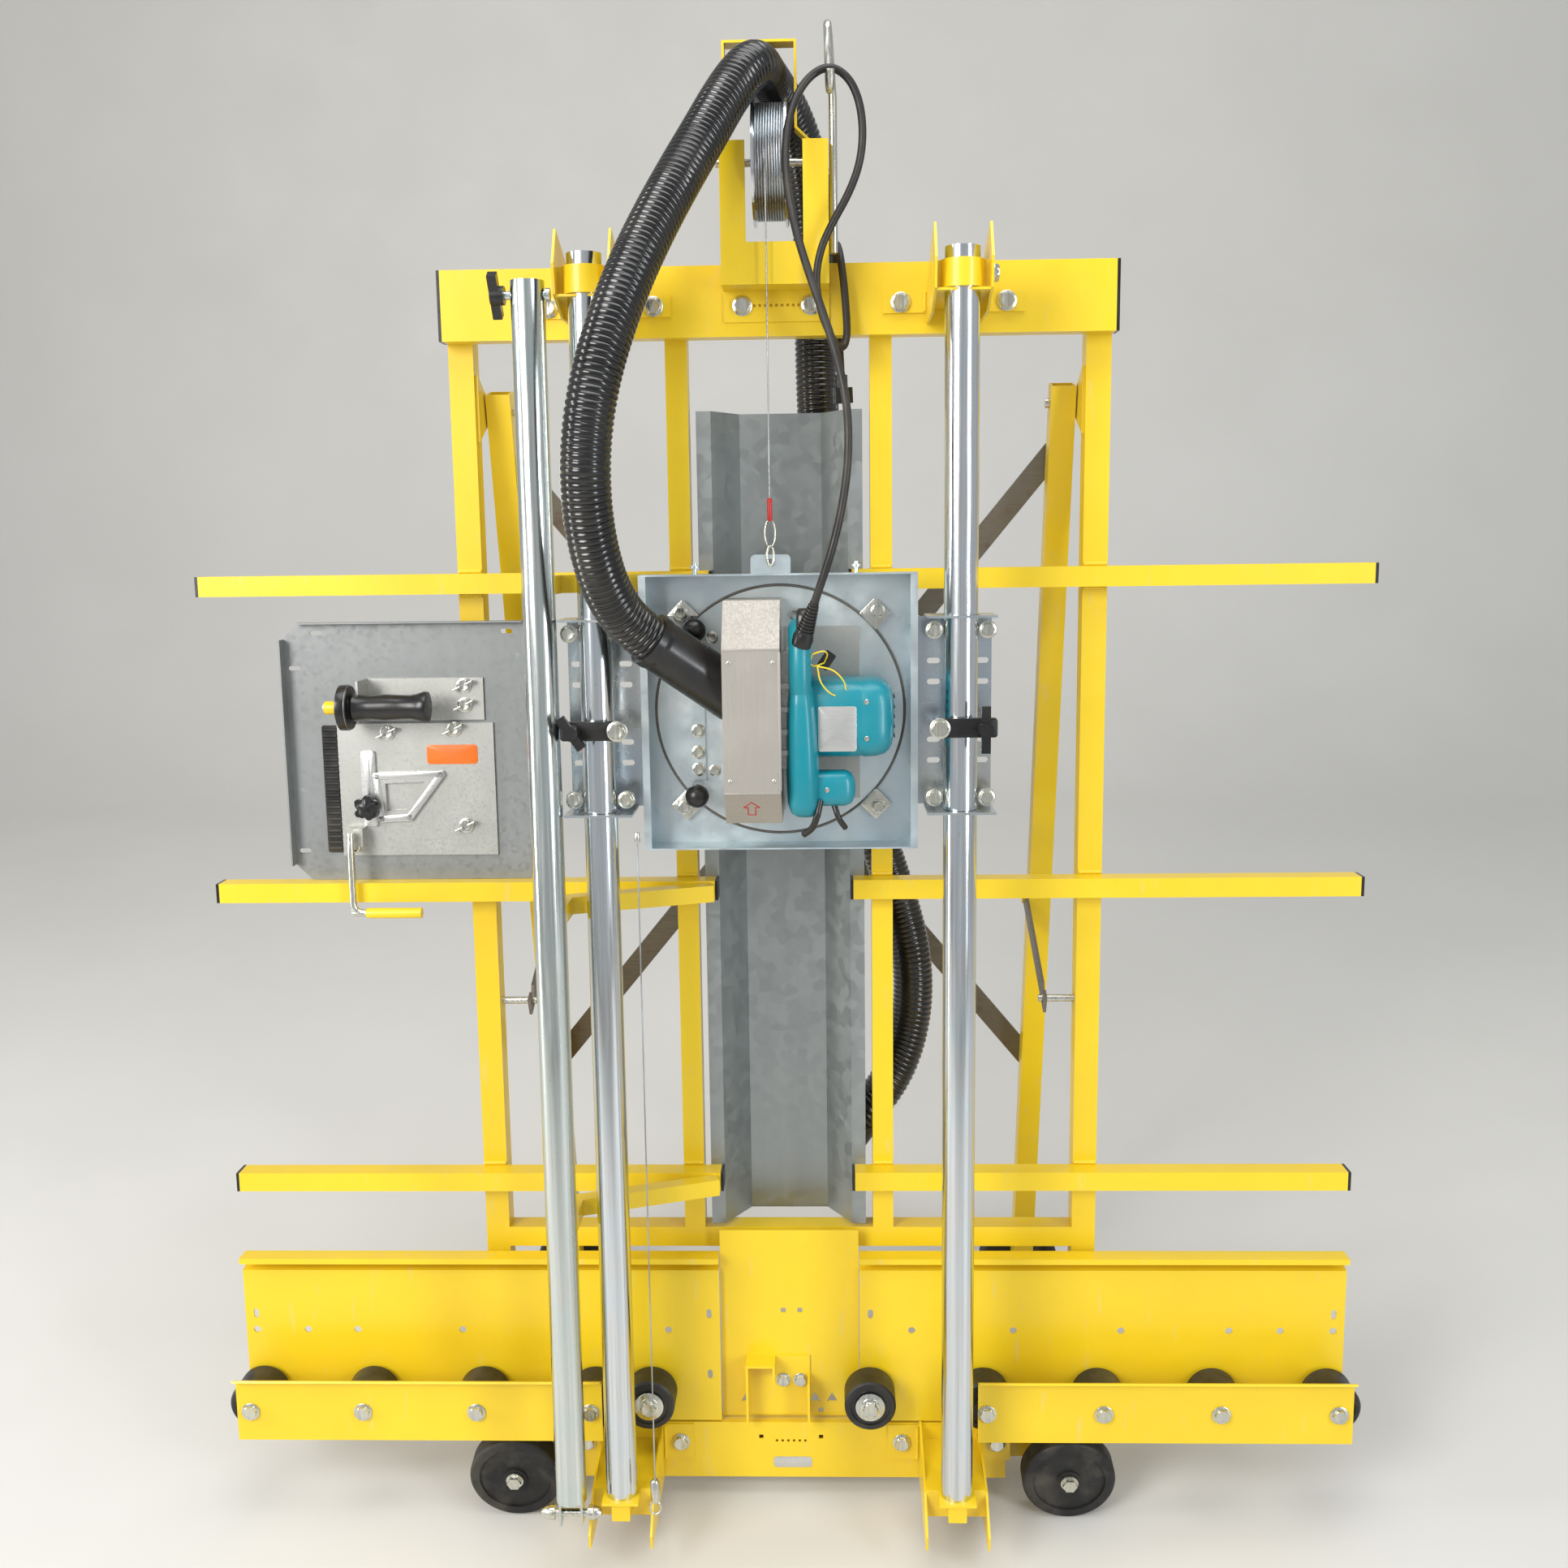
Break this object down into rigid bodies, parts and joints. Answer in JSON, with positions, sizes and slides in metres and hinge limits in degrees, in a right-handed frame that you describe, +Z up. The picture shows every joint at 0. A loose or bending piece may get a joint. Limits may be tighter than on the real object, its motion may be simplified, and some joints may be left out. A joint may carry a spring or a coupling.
{
  "type": "panel saw",
  "caption": "Leaning vertical panel saw: yellow frame with guide tubes, turning saw carriage, dust hose, base rollers, folding rear stand and transport wheels.",
  "frame": {"origin": "on the floor, midway across and midway between the front and back of the machine without its hoses and cord", "axes": "+Z up, +X to the right of an operator who stands in front, -Y towards the operator"},
  "size_m": [1.546, 0.6435, 1.922],
  "materials": {
    "yellow_powder_coat": "semi-gloss powder coat",
    "zinc_tube": "bright zinc-plated drawn tube",
    "zinc_fastener": "bright zinc-plated fasteners",
    "galvanised_sheet": "dull galvanised sheet",
    "zinc_sheet": "blue-passivated zinc sheet",
    "black_plastic": "moulded black plastic",
    "black_rubber": "matt black rubber",
    "hose_plastic": "glossy corrugated hose",
    "raw_steel": "plain hot-rolled flat bar",
    "steel_rope": "thin twisted steel rope",
    "blade_steel": "ground saw-blade steel",
    "guard_metal": "satin grey sheet",
    "cast_aluminium": "cast and machined aluminium",
    "tool_plastic": "moulded teal tool housing"
  },
  "bodies": {
    "frame": {"top_beam": "yellow_powder_coat", "back_frame": "yellow_powder_coat", "cross_bars": "yellow_powder_coat", "base_panels": "yellow_powder_coat", "centre_plate": "yellow_powder_coat", "bottom_channel": "yellow_powder_coat", "roller_guards": "yellow_powder_coat", "tube_top_brackets": "yellow_powder_coat", "tube_bottom_brackets": "yellow_powder_coat", "hold_down_arms": "yellow_powder_coat", "pulley_bracket": "yellow_powder_coat", "hose_loop": "yellow_powder_coat", "guide_tubes": "zinc_tube", "frame_bolts": "zinc_fastener", "cord_hook": "zinc_fastener", "dust_trough": "galvanised_sheet", "end_caps": "black_plastic", "rear_hose": "hose_plastic", "guide_wire": "steel_rope", "front_hose": "hose_plastic", "lift_cable": "steel_rope", "saw_cord": "black_rubber", "cord_plug": "black_rubber"},
    "carriage": {"carriage_pan": "zinc_sheet", "carriage_brackets": "zinc_sheet", "carriage_bearings": "zinc_fastener"},
    "saw_unit": {"turntable": "zinc_sheet", "blade_guard": "guard_metal", "saw_base": "cast_aluminium", "saw_housing": "tool_plastic"},
    "blade": {"saw_blade": "blade_steel"},
    "trigger": {"saw_trigger": "black_plastic"},
    "upper_pin": {"upper_index_pin": "black_plastic"},
    "lower_pin": {"lower_index_pin": "black_plastic"},
    "left_lock": {"left_lock_lever": "black_plastic"},
    "right_lock": {"right_lock_lever": "black_plastic"},
    "drum": {"cable_drum": "zinc_tube"},
    "hold_down": {"hold_down_tube": "zinc_tube"},
    "hold_down_grip": {"hold_down_knob": "black_plastic"},
    "rear_stand": {"rear_legs": "yellow_powder_coat", "stand_braces": "raw_steel"},
    "stays": {"stand_stays": "raw_steel"},
    "insert": {"insert_plate": "galvanised_sheet", "insert_fittings": "galvanised_sheet"},
    "insert_clamp": {"insert_knob": "black_plastic"},
    "insert_handle": {"insert_lever": "raw_steel"},
    "roller_01_body": {"roller_01": "black_rubber"},
    "roller_02_body": {"roller_02": "black_rubber"},
    "roller_03_body": {"roller_03": "black_rubber"},
    "roller_04_body": {"roller_04": "black_rubber"},
    "roller_05_body": {"roller_05": "black_rubber"},
    "roller_06_body": {"roller_06": "black_rubber"},
    "roller_07_body": {"roller_07": "black_rubber"},
    "roller_08_body": {"roller_08": "black_rubber"},
    "roller_09_body": {"roller_09": "black_rubber"},
    "roller_10_body": {"roller_10": "black_rubber"},
    "front_left_roll": {"front_left_wheel": "black_rubber"},
    "front_right_roll": {"front_right_wheel": "black_rubber"},
    "rear_left_roll": {"rear_left_wheel": "black_rubber"},
    "rear_right_roll": {"rear_right_wheel": "black_rubber"}
  },
  "joints": [
    {"name": "carriage_slide", "type": "slide", "parent": "frame", "child": "carriage", "axis": [0, 0.1908, 0.9816], "range_m": [-0.8, 0.3], "deforming": ["front_hose", "lift_cable", "saw_cord"]},
    {"name": "turntable_turn", "type": "hinge", "parent": "carriage", "child": "saw_unit", "pos_m": [0, -0.01326, 1.11602], "axis": [0, -0.9816, 0.1908], "range_deg": [0, 90], "deforming": ["front_hose", "saw_cord"]},
    {"name": "blade_spin", "type": "hinge", "parent": "saw_unit", "child": "blade", "pos_m": [-0.03, -0.03977, 1.12117], "axis": [1, 0, 0], "continuous": true},
    {"name": "trigger_pull", "type": "slide", "parent": "saw_unit", "child": "trigger", "axis": [0, -0.9816, 0.1908], "range_m": [0, 0.004], "stiffness_N_per_m": 900},
    {"name": "upper_pin_pull", "type": "slide", "parent": "saw_unit", "child": "upper_pin", "axis": [0, -0.9816, 0.1908], "range_m": [0, 0.007], "stiffness_N_per_m": 1500},
    {"name": "lower_pin_pull", "type": "slide", "parent": "saw_unit", "child": "lower_pin", "axis": [0, -0.9816, 0.1908], "range_m": [0, 0.007], "stiffness_N_per_m": 1500},
    {"name": "left_lock_turn", "type": "hinge", "parent": "carriage", "child": "left_lock", "pos_m": [-0.247, -0.12195, 1.12288], "axis": [0, -0.9816, 0.1908], "range_deg": [-90, 90]},
    {"name": "right_lock_turn", "type": "hinge", "parent": "carriage", "child": "right_lock", "pos_m": [0.247, -0.12195, 1.12288], "axis": [0, -0.9816, 0.1908], "range_deg": [-90, 90]},
    {"name": "drum_turn", "type": "hinge", "parent": "frame", "child": "drum", "pos_m": [0, 0.18209, 1.76466], "axis": [1, 0, 0], "range_deg": [-300, 700]},
    {"name": "hold_down_swing", "type": "hinge", "parent": "frame", "child": "hold_down", "pos_m": [-0.285, -0.29961, 0.10407], "axis": [1, 0, 0], "range_deg": [0, 80]},
    {"name": "hold_down_grip_turn", "type": "hinge", "parent": "hold_down", "child": "hold_down_grip", "pos_m": [-0.32, -0.005, 1.6197], "axis": [1, 0, 0], "range_deg": [-180, 180]},
    {"name": "stand_fold", "type": "hinge", "parent": "frame", "child": "rear_stand", "pos_m": [0, 0.2045, 1.4659], "axis": [1, 0, 0], "range_deg": [-12.5, 0], "deforming": ["rear_hose"]},
    {"name": "stay_drop", "type": "hinge", "parent": "rear_stand", "child": "stays", "pos_m": [0, 0.22973, 0.74334], "axis": [1, 0, 0], "range_deg": [0, 79]},
    {"name": "insert_lift_off", "type": "slide", "parent": "frame", "child": "insert", "axis": [0, -0.9816, 0.1908], "range_m": [0, 0.15]},
    {"name": "insert_clamp_turn", "type": "hinge", "parent": "insert", "child": "insert_clamp", "pos_m": [-0.553, 0.03223, 0.97271], "axis": [0, -0.9816, 0.1908], "range_deg": [-180, 180]},
    {"name": "insert_handle_swing", "type": "hinge", "parent": "insert", "child": "insert_handle", "pos_m": [-0.573, 0.00693, 0.93688], "axis": [0, -0.9816, 0.1908], "range_deg": [-60, 60]},
    {"name": "roller_01_spin", "type": "hinge", "parent": "frame", "child": "roller_01_body", "pos_m": [-0.738, -0.16072, 0.16875], "axis": [0, -0.9816, 0.1908], "continuous": true},
    {"name": "roller_02_spin", "type": "hinge", "parent": "frame", "child": "roller_02_body", "pos_m": [-0.583, -0.16072, 0.16875], "axis": [0, -0.9816, 0.1908], "continuous": true},
    {"name": "roller_03_spin", "type": "hinge", "parent": "frame", "child": "roller_03_body", "pos_m": [-0.427, -0.16072, 0.16875], "axis": [0, -0.9816, 0.1908], "continuous": true},
    {"name": "roller_04_spin", "type": "hinge", "parent": "frame", "child": "roller_04_body", "pos_m": [-0.271, -0.16072, 0.16875], "axis": [0, -0.9816, 0.1908], "continuous": true},
    {"name": "roller_05_spin", "type": "hinge", "parent": "frame", "child": "roller_05_body", "pos_m": [-0.193, -0.16072, 0.16875], "axis": [0, -0.9816, 0.1908], "continuous": true},
    {"name": "roller_06_spin", "type": "hinge", "parent": "frame", "child": "roller_06_body", "pos_m": [0.11, -0.16072, 0.16875], "axis": [0, -0.9816, 0.1908], "continuous": true},
    {"name": "roller_07_spin", "type": "hinge", "parent": "frame", "child": "roller_07_body", "pos_m": [0.267, -0.16072, 0.16875], "axis": [0, -0.9816, 0.1908], "continuous": true},
    {"name": "roller_08_spin", "type": "hinge", "parent": "frame", "child": "roller_08_body", "pos_m": [0.424, -0.16072, 0.16875], "axis": [0, -0.9816, 0.1908], "continuous": true},
    {"name": "roller_09_spin", "type": "hinge", "parent": "frame", "child": "roller_09_body", "pos_m": [0.581, -0.16072, 0.16875], "axis": [0, -0.9816, 0.1908], "continuous": true},
    {"name": "roller_10_spin", "type": "hinge", "parent": "frame", "child": "roller_10_body", "pos_m": [0.738, -0.16072, 0.16875], "axis": [0, -0.9816, 0.1908], "continuous": true},
    {"name": "front_left_wheel_spin", "type": "hinge", "parent": "frame", "child": "front_left_roll", "pos_m": [-0.382, -0.18525, 0.0635], "axis": [0, 1, 0], "continuous": true},
    {"name": "front_right_wheel_spin", "type": "hinge", "parent": "frame", "child": "front_right_roll", "pos_m": [0.382, -0.18525, 0.0635], "axis": [0, 1, 0], "continuous": true},
    {"name": "rear_left_wheel_spin", "type": "hinge", "parent": "rear_stand", "child": "rear_left_roll", "pos_m": [-0.37, 0.29248, 0.0635], "axis": [0, 1, 0], "continuous": true},
    {"name": "rear_right_wheel_spin", "type": "hinge", "parent": "rear_stand", "child": "rear_right_roll", "pos_m": [0.37, 0.29248, 0.0635], "axis": [0, 1, 0], "continuous": true}
  ],
  "couplings": [
    {"joint": "drum_turn", "follows": "carriage_slide", "rad_per_m": -14.948},
    {"joint": "stay_drop", "follows": "stand_fold", "ratio": -6.3}
  ]
}
